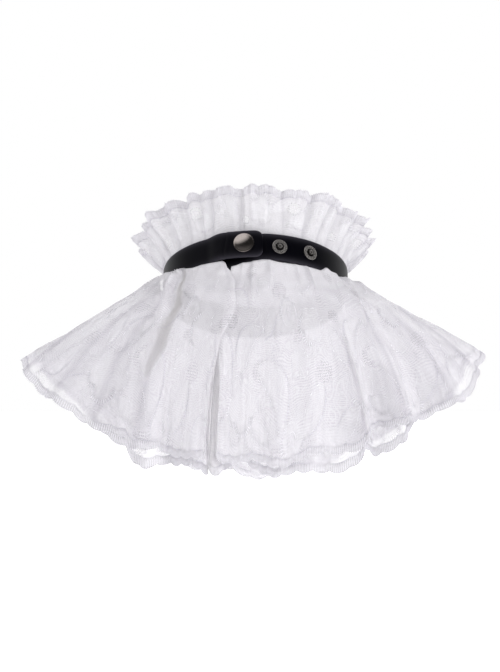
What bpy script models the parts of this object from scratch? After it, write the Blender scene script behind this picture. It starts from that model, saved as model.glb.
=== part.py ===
"""Lace collar: a standing ruffle and a two-tier falling ruffle on a smooth neck strap that snaps at the nape.

The collar keeps the hollow form that it has round a neck. The nape faces -Y, the throat faces +Y and the
wearer's left is at -X. The origin is the centre of the strap's ring, which leans forward about X.
Angles run round the neck from the nape: 90 degrees is at +X and 180 degrees is the throat.
"""

import math

import bmesh
import bpy
from mathutils import Matrix
from mathutils import Vector

MM = 0.001

# Neck ring, from the girth of a neck
RING_TILT = math.radians(23.5)
STRAP_RADIUS = 57.2 * MM
STRAP_THICKNESS = 1.5 * MM
STRAP_HALF_WIDTH = 8.75 * MM
SEAM_GAP = 0.3 * MM

# The strap starts as the under end, runs once round and finishes as the tab
UNDER_END = -19.0
TAB_RISE_START = 328.0
TAB_RISE_END = 341.0
TAB_END = 363.9
TAB_LIFT = 3.95 * MM
TAB_CORNER = 4.5
TAB_END_SHARE = 0.58
UNDER_END_DROOP = 6.5 * MM
DROOP_START = 6.0
STRAP_STEP = 4.0
STRAP_END_STEP = 1.5

# Base band behind the strap
BAND_RADIUS = 53.4 * MM
BAND_THICKNESS = 1.2 * MM
BAND_LOW = -11.6 * MM
BAND_HIGH = 9.4 * MM
BAND_START = -8.0
BAND_END = 351.4
BAND_COLUMNS = 72

# Snap fasteners
SNAP_HEIGHT = 0.3 * MM
SNAP_MERGE = 0.01 * MM
SNAP_SIDES = 16
CAP_RADIUS = 6.2 * MM
CAP_RISE = 2.4 * MM
CAP_RIM = 0.5 * MM
CAP_DOME_STEPS = 5
FLANGE_RADIUS = 4.7 * MM
FLANGE_THICKNESS = 0.5 * MM
POST_RADIUS = 2.1 * MM
POST_RISE = 1.5 * MM
STUD_SEAT = STRAP_RADIUS + STRAP_THICKNESS / 2 + SEAM_GAP
CAP_SEAT = STRAP_RADIUS + TAB_LIFT + STRAP_THICKNESS / 2 + SEAM_GAP
SOCKET_THICKNESS = 0.7 * MM
SOCKET_SEAT = STUD_SEAT + 0.9 * MM
SOCKET_HOLE = 2.6 * MM
SNAP_ANGLES = (("snap_stud_closed", -6.6), ("snap_stud_middle", 14.4), ("snap_stud_outer", 34.6))

# Lace walls
LACE_THICKNESS = 1.2 * MM

# Standing ruffle
STAND_START = -6.6
STAND_END = 352.6
STAND_FOLD_COLUMNS = 132
STAND_ROWS = 5
STAND_FOOT_RADIUS = 55.35 * MM
STAND_FOOT = 3.0 * MM
STAND_MOUTH = 10.0 * MM
STAND_MOUTH_SHARE = 0.2
STAND_TOP = 37.0 * MM
STAND_FLARE_NAPE = 10.0 * MM
STAND_FLARE_SIDE = 20.0 * MM
STAND_FOOT_DEPTH_SHARE = 0.08
STAND_FOLD_START = 0.4
STAND_FOLD_GROWTH = 0.8
STAND_FLARE_GROWTH = 1.2

# Columns: angle at the foot, angle at the top, depth in mm, half width in degrees
STAND_FOLDS = (
    (-174.0, -174.0, 6.0, 3.6),
    (-159.0, -159.0, 6.0, 3.6),
    (-144.0, -144.0, 6.0, 3.6),
    (-129.0, -129.0, 6.0, 3.6),
    (-114.0, -115.0, 6.5, 3.6),
    (-99.0, -101.0, 7.0, 3.6),
    (-84.0, -86.0, 7.0, 3.6),
    (-70.0, -72.0, 6.5, 3.4),
    (-56.0, -58.0, 6.0, 3.4),
    (-43.0, -45.0, 6.0, 3.2),
    (-29.0, -27.0, 5.5, 3.4),
    (-8.0, -7.0, 6.0, 3.0),
    (15.6, 16.2, 5.5, 3.4),
    (30.8, 32.0, 6.0, 3.2),
    (44.0, 48.0, 6.0, 3.4),
    (58.0, 62.0, 6.0, 3.4),
    (72.0, 75.0, 6.5, 3.4),
    (86.0, 88.0, 7.0, 3.6),
    (101.0, 102.0, 7.0, 3.6),
    (116.0, 116.0, 6.5, 3.6),
    (131.0, 131.0, 6.0, 3.6),
    (146.0, 146.0, 6.0, 3.6),
    (161.0, 161.0, 6.0, 3.6),
    (174.0, 174.0, 6.0, 3.2),
)

# Falling ruffle
FALL_COLUMNS = 112
FALL_ROWS = 9
UNDER_COLUMNS = 112
UNDER_ROWS = 7
HEADING_RADIUS = 60.1 * MM
HEM_HALF_WIDTH = 142.0 * MM
HEM_BACK_DEPTH = 103.0 * MM
HEM_FRONT_DEPTH = 112.0 * MM
HEM_SIDE_HEIGHT = -50.0 * MM
HEM_BACK_DROP = 60.0 * MM
HEM_FRONT_DROP = 74.0 * MM
HEM_CURVE = 1.6
CREST_SHARE = 0.38
CREST_SIDE = 5.0 * MM
CREST_BACK = 13.0 * MM
GATHERS = 37
GATHER_DEPTH = 0.7 * MM
GATHER_REACH = 0.28
FOLD_GROWTH = 1.15
LINE_SPREAD = 0.7
NORMAL_TURN = 0.4
NORMAL_SHARE = 0.02
LIFT_START = 0.15
END_LIFT = 3.4 * MM
END_LIFT_ANGLE = 15.0
END_LIFT_FADE = 0.7
UNDER_FOOT_RADIUS = 55.0 * MM
UNDER_FOOT_HEIGHT = -10.4 * MM
UNDER_FOOT_NAPE_DROP = 6.4 * MM
NAPE_DROP_LEFT = (-30.0, -22.0)
NAPE_DROP_RIGHT = (10.0, 3.0)
UNDER_INSET = 5.0 * MM
UNDER_EXTRA = 8.0 * MM

# Columns: angle at the neck, angle at the hem, depth in mm, half width in degrees at the neck, share of
# the length where the fold begins
FALL_FOLDS = (
    (-170.0, -170.0, 15.0, 4.8, 0.0),
    (-150.0, -151.0, 15.0, 4.8, 0.0),
    (-130.0, -131.0, 15.0, 4.8, 0.0),
    (-112.0, -112.0, 15.0, 4.6, 0.0),
    (-96.0, -94.0, 14.0, 4.4, 0.0),
    (-82.0, -75.0, 14.0, 4.2, 0.0),
    (-68.0, -56.0, 15.0, 4.0, 0.0),
    (-57.0, -41.0, 14.0, 3.8, 0.0),
    (-45.0, -27.5, 20.0, 3.8, 0.0),
    (-16.0, -11.2, 11.0, 3.4, 0.3),
    (11.0, 4.5, 4.0, 2.6, 0.0),
    (22.0, 13.0, 4.0, 3.0, 0.2),
    (36.0, 26.0, 14.0, 3.6, 0.3),
    (54.0, 37.0, 16.0, 3.8, 0.0),
    (70.0, 53.0, 17.0, 4.0, 0.0),
    (82.0, 70.0, 14.0, 4.2, 0.0),
    (96.0, 90.0, 14.0, 4.4, 0.0),
    (112.0, 110.0, 15.0, 4.6, 0.0),
    (130.0, 131.0, 15.0, 4.8, 0.0),
    (150.0, 151.0, 15.0, 4.8, 0.0),
    (170.0, 170.0, 15.0, 4.8, 0.0),
)

# Columns: angle round the neck, height of the lace's heading edge above the strap's middle in mm
HEADING_EDGE = (
    (-180.0, -9.8),
    (-110.0, -4.0),
    (-90.0, 1.5),
    (-71.0, -0.9),
    (-54.0, -5.5),
    (-38.0, -9.3),
    (-20.0, -9.5),
    (-14.0, -14.0),
    (-6.0, -12.0),
    (5.0, -10.0),
    (16.0, -11.2),
    (40.0, -10.6),
    (46.0, -7.0),
    (53.0, -9.6),
    (73.0, -3.0),
    (90.0, 1.5),
    (110.0, -4.0),
    (180.0, -9.8),
)

# Columns: share of the length, thread line of the left end's free edge, thread line of the right end's edge
NAPE_EDGES = (
    (0.0, -18.0, -14.0),
    (0.12, -12.0, -14.0),
    (0.28, -4.8, -14.6),
    (0.5, -13.8, -14.6),
    (1.0, -17.0, -14.2),
)


def smooth_step(low, high, value):
    """Rise from 0 at low to 1 at high without corners."""
    share = min(1.0, max(0.0, (value - low) / (high - low)))
    return share * share * (3.0 - 2.0 * share)


def turn_between(angle, other):
    """Shortest signed turn in degrees from one angle to another."""
    return (angle - other + 180.0) % 360.0 - 180.0


def table_value(table, key, column=1):
    """Read a column of a table with a smooth blend between its rows."""
    for before, after in zip(table, table[1:]):
        if key <= after[0]:
            share = smooth_step(before[0], after[0], key)
            return before[column] + share * (after[column] - before[column])
    return table[-1][column]


def ring_point(angle, radius, height):
    """Point at an angle round the neck, with its radius and height in the leaning ring."""
    turn = math.radians(angle)
    return Vector((
        radius * math.sin(turn),
        height * math.sin(RING_TILT) - radius * math.cos(turn) * math.cos(RING_TILT),
        height * math.cos(RING_TILT) + radius * math.cos(turn) * math.sin(RING_TILT),
    ))


def trough(angle, centre, half_width):
    """Depth share of a soft trough round its centre line."""
    reach = turn_between(angle, centre) / half_width
    return math.exp(-0.5 * reach * reach)


def new_material(name, colour, roughness, metallic=0.0):
    """Principled material with one colour."""
    material = bpy.data.materials.new(name)
    material.use_nodes = True
    shader = material.node_tree.nodes["Principled BSDF"]
    shader.inputs["Base Color"].default_value = (*colour, 1.0)
    shader.inputs["Roughness"].default_value = roughness
    shader.inputs["Metallic"].default_value = metallic
    return material


def add_object(name, mesh, material, collection):
    """Put a mesh in the collar's collection under its own name."""
    mesh.materials.append(material)
    piece = bpy.data.objects.new(name, mesh)
    collection.objects.link(piece)
    return piece


def add_wall(name, columns, rows, place, thickness, material, collection):
    """Bend a flat grid into a cloth wall: place turns two shares, across and along, into a point."""
    shape = bmesh.new()
    bmesh.ops.create_grid(shape, x_segments=columns, y_segments=rows, size=0.5)
    for vertex in shape.verts:
        vertex.co = place(vertex.co.x + 0.5, vertex.co.y + 0.5)
    mesh = bpy.data.meshes.new(name)
    shape.to_mesh(mesh)
    shape.free()
    mesh.shade_smooth()
    piece = add_object(name, mesh, material, collection)
    wall = piece.modifiers.new("wall", "SOLIDIFY")
    wall.thickness = thickness
    wall.offset = 0.0
    return piece


def add_turned(name, profile, angle, radius, material, collection):
    """Turn a profile about its own axis and set it on the ring, facing outwards."""
    shape = bmesh.new()
    corners = [shape.verts.new((across, 0.0, along)) for across, along in profile]
    for start, end in zip(corners, corners[1:]):
        shape.edges.new((start, end))
    mesh = bpy.data.meshes.new(name)
    shape.to_mesh(mesh)
    shape.free()
    piece = add_object(name, mesh, material, collection)
    turned = piece.modifiers.new("turned", "SCREW")
    turned.steps = SNAP_SIDES
    turned.render_steps = SNAP_SIDES
    turned.use_merge_vertices = True
    turned.merge_threshold = SNAP_MERGE
    turned.use_smooth_shade = True
    outward = ring_point(angle, 1.0, 0.0)
    upward = ring_point(angle, 0.0, 1.0)
    side = upward.cross(outward)
    facing = Matrix((side, upward, outward)).transposed()
    piece.matrix_world = Matrix.Translation(ring_point(angle, radius, SNAP_HEIGHT)) @ facing.to_4x4()
    return piece


def strap_angles():
    """Angles of the strap's cross lines: close together at both ends, wider on the way round."""
    angles = []
    angle = UNDER_END
    while angle < TAB_END - STRAP_END_STEP / 2:
        angles.append(angle)
        near_end = angle < UNDER_END + 2 * STRAP_END_STEP or angle > TAB_RISE_START - STRAP_STEP
        angle += STRAP_END_STEP if near_end else STRAP_STEP
    angles.append(TAB_END)
    return angles


def add_strap(material, collection):
    """Neck strap in one length: the under end, the way round the neck and the tab over its own start."""
    angles = strap_angles()

    def place(across, along):
        angle = angles[round(across * (len(angles) - 1))]
        lift = TAB_LIFT * smooth_step(TAB_RISE_START, TAB_RISE_END, angle)
        to_end = min(1.0, (TAB_END - angle) / TAB_CORNER)
        rounding = math.sqrt(1.0 - (1.0 - to_end) ** 2)
        half = STRAP_HALF_WIDTH * (TAB_END_SHARE + (1.0 - TAB_END_SHARE) * rounding)
        droop = UNDER_END_DROOP * smooth_step(DROOP_START, UNDER_END, angle)
        return ring_point(angle, STRAP_RADIUS + lift, (2.0 * along - 1.0) * half - droop)

    add_wall("neck_strap", len(angles) - 1, 2, place, STRAP_THICKNESS, material, collection)


def add_band(material, collection):
    """Base band that carries both ruffles, with its slit at the nape."""
    def place(across, along):
        angle = BAND_START + across * (BAND_END - BAND_START)
        return ring_point(angle, BAND_RADIUS, BAND_LOW + along * (BAND_HIGH - BAND_LOW))

    add_wall("base_band", BAND_COLUMNS, 1, place, BAND_THICKNESS, material, collection)


def standing_point(angle, share):
    """Point of the standing ruffle: straight behind the strap, then flaring out in folds."""
    above = max(0.0, (share - STAND_MOUTH_SHARE) / (1.0 - STAND_MOUTH_SHARE))
    below = min(1.0, share / STAND_MOUTH_SHARE)
    height = STAND_FOOT + below * (STAND_MOUTH - STAND_FOOT) + above * (STAND_TOP - STAND_MOUTH)
    sideways = math.sin(math.radians(angle)) ** 2
    flare = STAND_FLARE_NAPE + sideways * (STAND_FLARE_SIDE - STAND_FLARE_NAPE)
    depth = 0.0
    for foot, top, fold_depth, half_width in STAND_FOLDS:
        centre = foot + above * (top - foot)
        depth += fold_depth * MM * trough(angle, centre, half_width)
    swing = STAND_FOOT_DEPTH_SHARE + (1.0 - STAND_FOOT_DEPTH_SHARE) * above ** STAND_FOLD_GROWTH
    swing *= smooth_step(0.0, STAND_FOLD_START, share)
    return ring_point(angle, STAND_FOOT_RADIUS + flare * above ** STAND_FLARE_GROWTH - depth * swing, height)


def add_standing_ruffle(material, collection):
    """Ruffle that stands up round the neck."""
    def place(across, along):
        return standing_point(STAND_START + across * (STAND_END - STAND_START), along)

    add_wall("standing_ruffle", STAND_FOLD_COLUMNS, STAND_ROWS, place, LACE_THICKNESS, material, collection)


def hem_point(angle):
    """Point of the hem's plain oval: high at the sides, low at the nape and the throat."""
    turn = math.radians(angle)
    behind = math.cos(turn) > 0.0
    depth = HEM_BACK_DEPTH if behind else HEM_FRONT_DEPTH
    drop = HEM_BACK_DROP if behind else HEM_FRONT_DROP
    height = HEM_SIDE_HEIGHT - drop * abs(math.cos(turn)) ** HEM_CURVE
    return Vector((HEM_HALF_WIDTH * math.sin(turn), -depth * math.cos(turn), height))


def plain_fall_point(angle, share, under):
    """Point of the fall before its folds: a curve from the neck out and down to the hem."""
    hem = hem_point(angle)
    if under:
        nape = smooth_step(*NAPE_DROP_LEFT, angle) * smooth_step(*NAPE_DROP_RIGHT, angle)
        start = ring_point(angle, UNDER_FOOT_RADIUS, UNDER_FOOT_HEIGHT - nape * UNDER_FOOT_NAPE_DROP)
        inward = Vector((-hem.x, -hem.y, 0.0)).normalized()
        hem = hem + inward * UNDER_INSET - Vector((0.0, 0.0, UNDER_EXTRA))
    else:
        start = ring_point(angle, HEADING_RADIUS, table_value(HEADING_EDGE, angle) * MM)
    chord = hem - start
    sideways = Vector((math.cos(math.radians(angle)), math.sin(math.radians(angle)), 0.0))
    outward = sideways.cross(chord).normalized() * -1.0
    crest = CREST_SIDE + CREST_BACK * math.cos(math.radians(angle)) ** 2
    middle = start + chord * CREST_SHARE + outward * crest
    first = start.lerp(middle, share)
    return first.lerp(middle.lerp(hem, share), share)


def hem_angle(line):
    """Angle at the hem of a thread line that leaves the neck at the given angle."""
    for before, after in zip(FALL_FOLDS, FALL_FOLDS[1:]):
        if before[0] <= line <= after[0]:
            return before[1] + (line - before[0]) / (after[0] - before[0]) * (after[1] - before[1])
    return line


def fold_depth(line, share):
    """Depth of all the folds on a thread line, growing from the neck to the hem."""
    depth = 0.0
    for neck, _, full_depth, half_width, begin in FALL_FOLDS:
        growth = smooth_step(begin, 1.0, share) ** 0.5 * share ** FOLD_GROWTH
        depth += full_depth * MM * growth * trough(line, neck, half_width)
    return depth


def fall_point(line, share, under=False):
    """Point of the fall on a thread line, moved along the plain surface's own normal by its folds."""
    line = turn_between(line, 0.0)
    angle = line + share ** LINE_SPREAD * (hem_angle(line) - line)
    point = plain_fall_point(angle, share, under)
    low = plain_fall_point(angle, min(1.0, share + NORMAL_SHARE), under)
    high = plain_fall_point(angle, max(0.0, share - NORMAL_SHARE), under)
    left = plain_fall_point(max(-180.0, angle - NORMAL_TURN), share, under)
    right = plain_fall_point(min(180.0, angle + NORMAL_TURN), share, under)
    normal = (right - left).cross(high - low).normalized() * -1.0
    gather = 0.0
    if not under:
        gather = math.cos(math.radians(GATHERS * line)) * GATHER_DEPTH * smooth_step(GATHER_REACH, 0.0, share)
    return point + normal * (gather - fold_depth(line, share))


def add_fall(material, collection):
    """Upper tier of the falling ruffle, with its left end laid over its right end at the nape."""
    def place(across, along):
        share = 1.0 - along
        end = table_value(NAPE_EDGES, share, 1) + 360.0
        start = table_value(NAPE_EDGES, share, 2)
        line = start + across * (end - start)
        spread = smooth_step(0.0, LIFT_START, share) * (1.0 - END_LIFT_FADE * share)
        lift = END_LIFT * smooth_step(end - END_LIFT_ANGLE, end, line) * spread
        point = fall_point(line, share)
        outward = Vector((point.x, point.y, 0.0)).normalized()
        return point + outward * lift

    add_wall("fall_upper_tier", FALL_COLUMNS, FALL_ROWS, place, LACE_THICKNESS, material, collection)


def add_under_tier(material, collection):
    """Under tier of the falling ruffle, which shows below the upper tier's hem."""
    start = table_value(NAPE_EDGES, 1.0, 2)
    end = table_value(NAPE_EDGES, 1.0, 1) + 360.0

    def place(across, along):
        return fall_point(start + across * (end - start), 1.0 - along, under=True)

    add_wall("fall_under_tier", UNDER_COLUMNS, UNDER_ROWS, place, LACE_THICKNESS, material, collection)


def add_snaps(metal, collection):
    """Domed cap on the tab, its socket below, and three studs along the under end."""
    stud = (
        (0.0, POST_RISE),
        (POST_RADIUS, POST_RISE),
        (POST_RADIUS, FLANGE_THICKNESS),
        (FLANGE_RADIUS - FLANGE_THICKNESS, FLANGE_THICKNESS),
        (FLANGE_RADIUS, FLANGE_THICKNESS / 2),
        (FLANGE_RADIUS, 0.0),
        (0.0, 0.0),
    )
    for name, angle in SNAP_ANGLES:
        add_turned(name, stud, angle, STUD_SEAT, metal, collection)
    closed = SNAP_ANGLES[0][1]
    socket = (
        (SOCKET_HOLE, SOCKET_THICKNESS),
        (FLANGE_RADIUS, SOCKET_THICKNESS),
        (FLANGE_RADIUS, 0.0),
        (SOCKET_HOLE, 0.0),
        (SOCKET_HOLE, SOCKET_THICKNESS),
    )
    add_turned("snap_socket", socket, closed, SOCKET_SEAT, metal, collection)
    dome = [(0.0, CAP_RISE)]
    for number in range(1, CAP_DOME_STEPS + 1):
        turn = math.pi / 2 * number / CAP_DOME_STEPS
        dome.append((CAP_RADIUS * math.sin(turn), CAP_RIM + (CAP_RISE - CAP_RIM) * math.cos(turn)))
    dome += [(CAP_RADIUS, 0.0), (0.0, 0.0)]
    add_turned("snap_cap", dome, closed, CAP_SEAT, metal, collection)


def main():
    """Build every piece of the collar."""
    for old in list(bpy.data.objects):
        bpy.data.objects.remove(old)
    collection = bpy.data.collections.new("lace_collar")
    bpy.context.scene.collection.children.link(collection)
    strap = new_material("black smooth leathercloth", (0.012, 0.011, 0.014), 0.4)
    band = new_material("black woven band", (0.02, 0.019, 0.022), 0.85)
    lace = new_material("off-white lace", (0.8, 0.78, 0.83), 0.9)
    metal = new_material("polished nickel", (0.62, 0.58, 0.55), 0.22, 1.0)
    add_band(band, collection)
    add_strap(strap, collection)
    add_standing_ruffle(lace, collection)
    add_under_tier(lace, collection)
    add_fall(lace, collection)
    add_snaps(metal, collection)


main()
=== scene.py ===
"""Dresses the lace collar: gathered lace tiers with raised cord work, the neck strap and its snaps.

The collar faces the camera with its nape (-Y). Angles run round the neck from the nape, 90 degrees at +X.
Lace is planned flat first, in millimetres of cloth: u along the strip, v from the neck to the hem.
"""
import logging
import math
from dataclasses import dataclass
from dataclasses import field
from enum import Enum

import bmesh
import bpy
import numpy as np
from mathutils import Matrix
from mathutils import Vector


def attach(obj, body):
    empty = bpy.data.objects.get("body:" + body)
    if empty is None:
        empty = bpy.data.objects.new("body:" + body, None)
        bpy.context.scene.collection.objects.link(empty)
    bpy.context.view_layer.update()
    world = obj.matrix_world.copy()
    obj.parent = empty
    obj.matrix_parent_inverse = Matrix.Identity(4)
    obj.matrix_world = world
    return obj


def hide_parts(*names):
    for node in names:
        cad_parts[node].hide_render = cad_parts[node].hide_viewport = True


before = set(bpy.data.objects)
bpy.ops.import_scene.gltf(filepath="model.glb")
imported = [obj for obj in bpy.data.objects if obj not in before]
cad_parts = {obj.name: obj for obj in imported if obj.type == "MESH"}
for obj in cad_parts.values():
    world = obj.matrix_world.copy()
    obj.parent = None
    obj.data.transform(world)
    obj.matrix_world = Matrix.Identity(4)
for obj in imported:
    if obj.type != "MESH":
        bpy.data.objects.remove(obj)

LOG = logging.getLogger("lace_collar")
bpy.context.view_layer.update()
BODY = "root"
MM = 0.001


class Shape(Enum):
    """Kinds of figure that the lace is worked with."""

    FLOWER = "flower"
    LEAF = "leaf"
    TEARDROP = "teardrop"
    SCROLL = "scroll"
    NET = "net"
    WINDOWS = "windows"


def smooth_step(low: float, high: float, value: np.ndarray) -> np.ndarray:
    """Rise from 0 at low to 1 at high without corners.

    Args:
        low: Value where the rise starts, or an array of them.
        high: Value where it ends, which may be the smaller one.
        value: Values to read.

    Returns:
        Shares from 0 to 1.
    """
    share = np.clip((np.asarray(value, float) - low) / (high - low), 0.0, 1.0)
    return share * share * (3.0 - 2.0 * share)


def read_table(table: tuple, key: np.ndarray, column: int = 1) -> np.ndarray:
    """Read a column of a table with a smooth blend between its rows.

    Args:
        table: Rows in rising order of their first value.
        key: Values to look up.
        column: Column to read.

    Returns:
        The blended column values.
    """
    rows = np.array(table)
    keys = rows[:, 0]
    index = np.clip(np.searchsorted(keys, key) - 1, 0, len(keys) - 2)
    share = smooth_step(keys[index], keys[index + 1], key)
    return rows[index, column] + share * (rows[index + 1, column] - rows[index, column])


def turn_between(angle: np.ndarray, other: float) -> np.ndarray:
    """Shortest signed turn in degrees from other to angle."""
    return (angle - other + 180.0) % 360.0 - 180.0


def dip(distance: np.ndarray, half_width: float) -> np.ndarray:
    """Depth share of a soft dip at a distance from its centre line."""
    return np.exp(-0.5 * (distance / half_width) ** 2)


def trough(angle: np.ndarray, centre: float, half_width: float) -> np.ndarray:
    """Depth share of a soft trough round its centre line, on the closed ring."""
    return dip(turn_between(angle, centre), half_width)


def unit(vectors: np.ndarray) -> np.ndarray:
    """Scale vectors to length one."""
    return vectors / np.maximum(np.linalg.norm(vectors, axis=-1, keepdims=True), 1e-12)


def ripple(values: np.ndarray, waves: tuple) -> np.ndarray:
    """Sum of uneven waves.

    Args:
        values: Places in degrees.
        waves: Rows of turns per circle, start in radians and height.

    Returns:
        The summed height at each place.
    """
    total = np.zeros_like(values, dtype=float)
    for turns, start, height in waves:
        total += height * np.sin(np.radians(turns * values) + start)
    return total


@dataclass(frozen=True)
class NeckRing:
    """The leaning ring of the strap, whose centre is the origin."""

    tilt: float = math.radians(23.5)

    def point(self, angle: np.ndarray, radius: np.ndarray, height: np.ndarray) -> np.ndarray:
        """Points at angles round the neck, with their radius and height in the ring.

        Args:
            angle: Degrees from the nape.
            radius: Distance from the ring's axis.
            height: Distance above the strap's middle.

        Returns:
            Points in the frame, last axis x, y, z.
        """
        turn = np.radians(angle)
        depth = radius * np.cos(turn)
        across = radius * np.sin(turn)
        back = height * math.sin(self.tilt) - depth * math.cos(self.tilt)
        up = height * math.cos(self.tilt) + depth * math.sin(self.tilt)
        return np.stack(np.broadcast_arrays(across, back, up), axis=-1)

    def seat(self, angle: float, radius: float, height: float) -> Matrix:
        """Placement of a turned piece that faces outwards from the ring."""
        outward = Vector(self.point(angle, 1.0, 0.0))
        upward = Vector(self.point(angle, 0.0, 1.0))
        facing = Matrix((upward.cross(outward), upward, outward)).transposed()
        return Matrix.Translation(Vector(self.point(angle, radius, height))) @ facing.to_4x4()


RING = NeckRing()


class NodeSketch:
    """Short way to draw the node tree of a material or of the world."""

    def __init__(self, name: str, world: bool = False) -> None:
        """Start an empty material, or a world, with that name."""
        self.kind = "World" if world else "Material"
        self.owner = (bpy.data.worlds if world else bpy.data.materials).new(name)
        self.owner.use_nodes = True
        self.tree = self.owner.node_tree
        self.tree.nodes.clear()

    def add(self, kind: str, settings: dict = None, **inputs: object) -> bpy.types.Node:
        """Add a node.

        Args:
            kind: Node type without its ShaderNode prefix.
            settings: Node properties by name.
            inputs: Values or sockets by input name, with _ for a space.

        Returns:
            The new node.
        """
        node = self.tree.nodes.new("ShaderNode" + kind)
        for key, value in (settings or {}).items():
            setattr(node, key, value)
        for key, value in inputs.items():
            place = int(key[2:]) if key.startswith("in") and key[2:].isdigit() else key.replace("_", " ")
            socket = node.inputs[place]
            if isinstance(value, bpy.types.NodeSocket):
                self.tree.links.new(value, socket)
            else:
                socket.default_value = value
        return node

    def math(self, operation: str, first: object, second: object = 0.0) -> bpy.types.NodeSocket:
        """Result of a Math node on two values or sockets."""
        return self.add("Math", {"operation": operation}, in0=first, in1=second).outputs[0]

    def times(self, first: object, second: object) -> bpy.types.NodeSocket:
        """Product of two values or sockets."""
        return self.math("MULTIPLY", first, second)

    def less(self, first: object, second: object) -> bpy.types.NodeSocket:
        """First value or socket less the second."""
        return self.math("SUBTRACT", first, second)

    def plan(self, name: str) -> bpy.types.NodeSocket:
        """Value of one of the mesh's attributes, from 0 to 1."""
        return self.add("Attribute", {"attribute_name": name}).outputs[2]

    def noise(self, places: bpy.types.NodeSocket, scale: float, **more: float) -> bpy.types.NodeSocket:
        """Noise of a scale at those places."""
        return self.add("TexNoise", Vector=places, Scale=scale, **more).outputs[0]

    def ramp(self, value: object, reach: tuple, output: tuple = (0.0, 1.0)) -> bpy.types.NodeSocket:
        """Straight ramp between two values, held at its ends."""
        return self.add("MapRange", Value=value, From_Min=reach[0], From_Max=reach[1],
                        To_Min=output[0], To_Max=output[1]).outputs[0]

    def cloth_places(self) -> bpy.types.NodeSocket:
        """Places on the cloth map, in millimetres."""
        cloth = self.add("UVMap", {"uv_map": "cloth"}).outputs[0]
        return self.add("VectorMath", {"operation": "SCALE"}, in0=cloth, Scale=1.0 / MM).outputs[0]

    def mix(self, share: object, first: object, second: object) -> bpy.types.NodeSocket:
        """Colour between two colours or sockets."""
        node = self.add("Mix", {"data_type": "RGBA"}, in0=share, in6=first, in7=second)
        return node.outputs[2]

    def sum(self, *values: object) -> bpy.types.NodeSocket:
        """Sum of several values or sockets."""
        total = values[0]
        for value in values[1:]:
            total = self.math("ADD", total, value)
        return total

    def finish(self, surface: bpy.types.NodeSocket) -> bpy.types.ID:
        """Close the tree with its output and give the material or world."""
        self.add("Output" + self.kind, Surface=surface)
        return self.owner


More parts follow.
